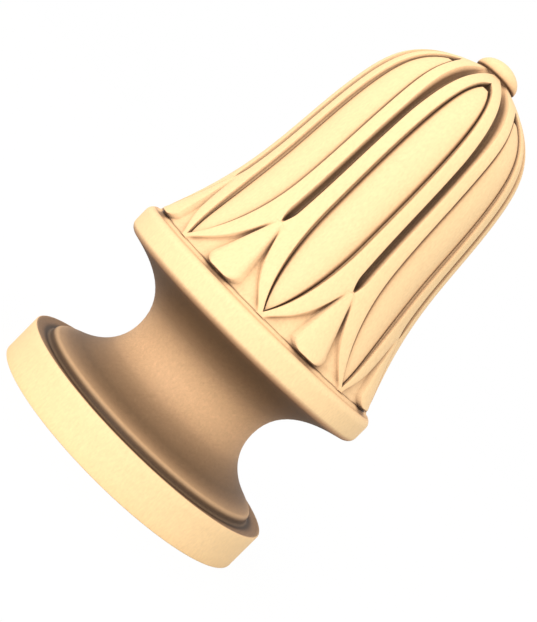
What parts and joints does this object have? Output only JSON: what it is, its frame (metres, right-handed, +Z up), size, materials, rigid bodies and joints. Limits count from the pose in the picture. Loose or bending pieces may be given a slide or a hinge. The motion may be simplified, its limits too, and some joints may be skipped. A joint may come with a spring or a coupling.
{
  "type": "curtain pole finial",
  "caption": "Turned and carved wooden finial for a curtain pole: flat round foot, waisted neck, collar and a bell-shaped bulb of arched petals under a button.",
  "frame": {"origin": "middle of the flat underside of the foot", "axes": "+Z up the turning axis towards the button; the middle of one petal faces -Y"},
  "size_m": [0.064, 0.064, 0.1122],
  "materials": {
    "wood": "fine close-grained pale wood, turned, carved and sanded, left matt and uncoated"
  },
  "bodies": {
    "root": {"finial": "wood"}
  },
  "joints": []
}
